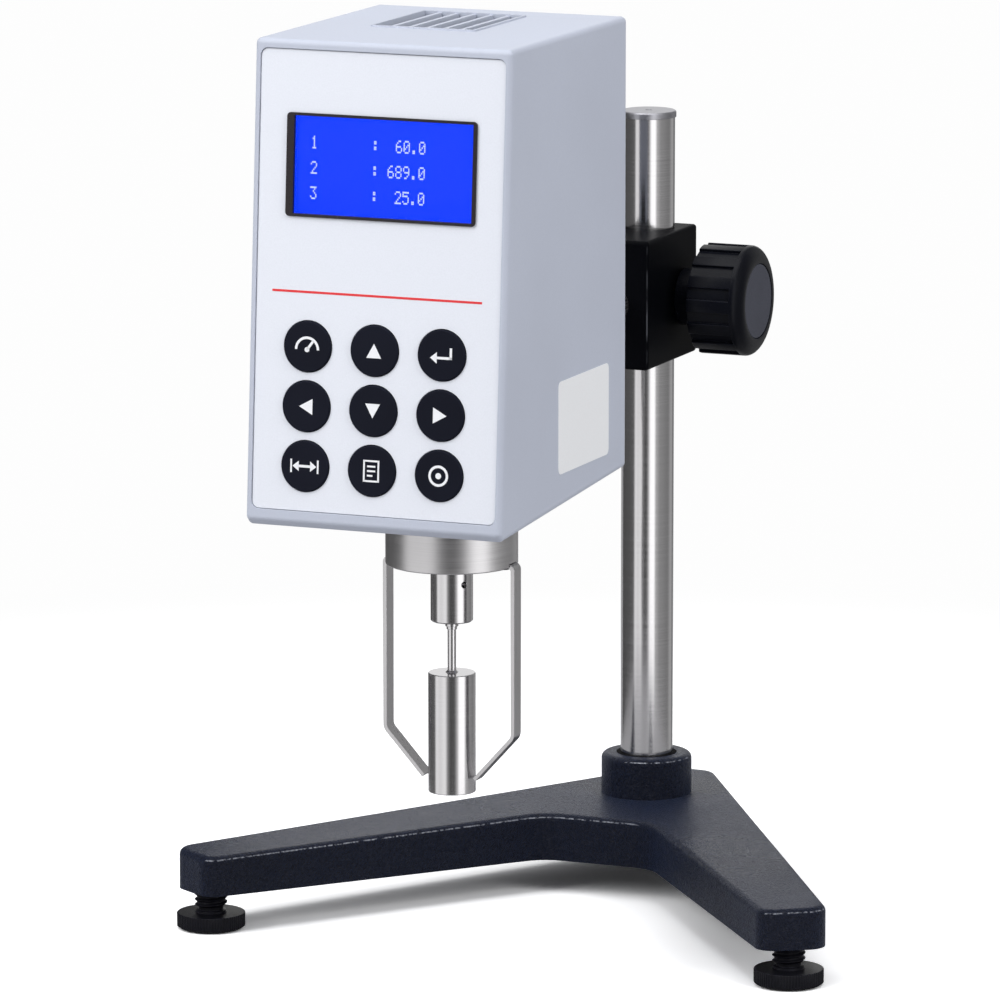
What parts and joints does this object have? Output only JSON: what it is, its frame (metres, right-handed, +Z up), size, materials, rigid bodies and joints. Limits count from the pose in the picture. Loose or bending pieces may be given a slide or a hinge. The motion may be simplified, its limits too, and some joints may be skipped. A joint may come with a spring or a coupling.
{
  "type": "rotational viscometer",
  "caption": "Bench rotational viscometer: measuring head with display and round keys, cylindrical rotor in a guard, on a round pole with clamp and V-shaped levelling base.",
  "frame": {"origin": "on the table under the middle of the instrument, midway between its front and rear and its left and right sides", "axes": "+Z up along the pole, +Y from the operator toward the pole, +X to the operator's right, the side of the clamp knob"},
  "size_m": [0.2802, 0.3398, 0.3831],
  "materials": {
    "casting_paint": "hammered satin",
    "pole_steel": "ground",
    "cap_aluminium": "satin",
    "dark_steel": "black oxide",
    "pad_rubber": "matt",
    "clamp_paint": "satin",
    "knob_plastic": "satin",
    "knob_face": "fine matt",
    "rod_steel": "turned",
    "clamp_brass": "turned",
    "housing_paint": "fine texture",
    "panel_white": "satin",
    "display_black": "gloss",
    "display_glass": "clear",
    "display_blue": "lit",
    "key_black": "satin",
    "board_green": "satin",
    "fitting_black": "satin",
    "port_steel": "plated",
    "ring_steel": "turned",
    "plate_aluminium": "machined",
    "bracket_steel": "plated",
    "motor_case": "plated",
    "bush_bronze": "turned",
    "spring_bronze": "bright"
  },
  "bodies": {
    "stand": {"base_casting": "casting_paint", "pole": "pole_steel", "pole_cap": "cap_aluminium", "pole_bolt": "dark_steel"},
    "head": {"clamp_block": "clamp_paint", "arm_rod": "rod_steel", "arm_set_screws": "dark_steel", "arm_flange": "clamp_paint", "flange_screws": "dark_steel", "back_bracket": "bracket_steel", "housing_shell": "housing_paint", "front_panel": "panel_white", "rear_panel": "housing_paint", "display_bezel": "display_black", "display_window": "display_glass", "display_module": "display_blue", "key_board": "board_green", "main_board": "board_green", "lower_ring": "ring_steel", "guard_leg_left": "ring_steel", "guard_leg_right": "ring_steel", "guard_screws": "rod_steel", "power_inlet": "fitting_black", "switch_frame": "fitting_black", "data_port": "port_steel", "probe_socket": "fitting_black", "lower_plate": "plate_aluminium", "upper_plate": "plate_aluminium", "pillars": "rod_steel", "motor": "motor_case", "bearing_bush": "bush_bronze", "optical_sensors": "fitting_black"},
    "clamp_tip": {"clamp_pad": "clamp_brass"},
    "clamp_handle": {"clamp_knob": "knob_plastic", "knob_cap": "knob_face", "clamp_screw": "rod_steel"},
    "switch": {"switch_rocker": "fitting_black"},
    "drive": {"drive_shaft": "rod_steel", "drive_disc": "plate_aluminium", "torsion_spring": "spring_bronze"},
    "measuring_system": {"measuring_shaft": "rod_steel", "encoder_disc": "plate_aluminium", "coupling_nut": "ring_steel", "rotor": "ring_steel"},
    "foot_tip_left": {"foot_pad_left": "pad_rubber"},
    "foot_left": {"foot_screw_left": "dark_steel"},
    "foot_tip_right": {"foot_pad_right": "pad_rubber"},
    "foot_right": {"foot_screw_right": "dark_steel"},
    "foot_tip_rear": {"foot_pad_rear": "pad_rubber"},
    "foot_rear": {"foot_screw_rear": "dark_steel"},
    "button_speed": {"key_speed": "key_black"},
    "button_up": {"key_up": "key_black"},
    "button_enter": {"key_enter": "key_black"},
    "button_left": {"key_left": "key_black"},
    "button_down": {"key_down": "key_black"},
    "button_right": {"key_right": "key_black"},
    "button_range": {"key_range": "key_black"},
    "button_print": {"key_print": "key_black"},
    "button_set": {"key_set": "key_black"}
  },
  "joints": [
    {"name": "head_height", "type": "slide", "parent": "stand", "child": "head", "axis": [0, 0, 1], "range_m": [-0.07, 0.045]},
    {"name": "clamp_tip_travel", "type": "slide", "parent": "head", "child": "clamp_tip", "axis": [1, 0, 0], "range_m": [0, 0.003]},
    {"name": "clamp_knob_turn", "type": "hinge", "parent": "clamp_tip", "child": "clamp_handle", "pos_m": [0, 0.12, 0.2458], "axis": [1, 0, 0], "range_deg": [0, 720]},
    {"name": "power_switch_rock", "type": "hinge", "parent": "head", "child": "switch", "pos_m": [0.027, -0.0406, 0.352], "axis": [1, 0, 0], "range_deg": [0, 20]},
    {"name": "motor_turn", "type": "hinge", "parent": "head", "child": "drive", "pos_m": [0, -0.091, 0.274], "axis": [0, 0, 1], "continuous": true},
    {"name": "spring_deflection", "type": "hinge", "parent": "drive", "child": "measuring_system", "pos_m": [0, -0.091, 0.2], "axis": [0, 0, 1], "range_deg": [0, 85], "stiffness_Nm_per_rad": 0.00005},
    {"name": "foot_left_lift", "type": "slide", "parent": "stand", "child": "foot_tip_left", "axis": [0, 0, 1], "range_m": [-0.003, 0.003]},
    {"name": "foot_left_turn", "type": "hinge", "parent": "foot_tip_left", "child": "foot_left", "pos_m": [-0.126, -0.046, 0.004], "axis": [0, 0, 1], "range_deg": [-720, 720]},
    {"name": "foot_right_lift", "type": "slide", "parent": "stand", "child": "foot_tip_right", "axis": [0, 0, 1], "range_m": [-0.003, 0.003]},
    {"name": "foot_right_turn", "type": "hinge", "parent": "foot_tip_right", "child": "foot_right", "pos_m": [0.126, -0.046, 0.004], "axis": [0, 0, 1], "range_deg": [-720, 720]},
    {"name": "foot_rear_lift", "type": "slide", "parent": "stand", "child": "foot_tip_rear", "axis": [0, 0, 1], "range_m": [-0.003, 0.003]},
    {"name": "foot_rear_turn", "type": "hinge", "parent": "foot_tip_rear", "child": "foot_rear", "pos_m": [0, 0.15596, 0.004], "axis": [0, 0, 1], "range_deg": [-720, 720]},
    {"name": "key_speed_press", "type": "slide", "parent": "head", "child": "button_speed", "axis": [0, 0.9979, -0.0651], "range_m": [0, 0.0008], "stiffness_N_per_m": 250, "springref_m": -0.001},
    {"name": "key_up_press", "type": "slide", "parent": "head", "child": "button_up", "axis": [0, 0.9979, -0.0651], "range_m": [0, 0.0008], "stiffness_N_per_m": 250, "springref_m": -0.001},
    {"name": "key_enter_press", "type": "slide", "parent": "head", "child": "button_enter", "axis": [0, 0.9979, -0.0651], "range_m": [0, 0.0008], "stiffness_N_per_m": 250, "springref_m": -0.001},
    {"name": "key_left_press", "type": "slide", "parent": "head", "child": "button_left", "axis": [0, 0.9979, -0.0651], "range_m": [0, 0.0008], "stiffness_N_per_m": 250, "springref_m": -0.001},
    {"name": "key_down_press", "type": "slide", "parent": "head", "child": "button_down", "axis": [0, 0.9979, -0.0651], "range_m": [0, 0.0008], "stiffness_N_per_m": 250, "springref_m": -0.001},
    {"name": "key_right_press", "type": "slide", "parent": "head", "child": "button_right", "axis": [0, 0.9979, -0.0651], "range_m": [0, 0.0008], "stiffness_N_per_m": 250, "springref_m": -0.001},
    {"name": "key_range_press", "type": "slide", "parent": "head", "child": "button_range", "axis": [0, 0.9979, -0.0651], "range_m": [0, 0.0008], "stiffness_N_per_m": 250, "springref_m": -0.001},
    {"name": "key_print_press", "type": "slide", "parent": "head", "child": "button_print", "axis": [0, 0.9979, -0.0651], "range_m": [0, 0.0008], "stiffness_N_per_m": 250, "springref_m": -0.001},
    {"name": "key_set_press", "type": "slide", "parent": "head", "child": "button_set", "axis": [0, 0.9979, -0.0651], "range_m": [0, 0.0008], "stiffness_N_per_m": 250, "springref_m": -0.001}
  ],
  "couplings": [
    {"joint": "clamp_knob_turn", "follows": "clamp_tip_travel", "rad_per_m": 4188},
    {"joint": "foot_left_turn", "follows": "foot_left_lift", "rad_per_m": 4188},
    {"joint": "foot_right_turn", "follows": "foot_right_lift", "rad_per_m": 4188},
    {"joint": "foot_rear_turn", "follows": "foot_rear_lift", "rad_per_m": 4188}
  ]
}
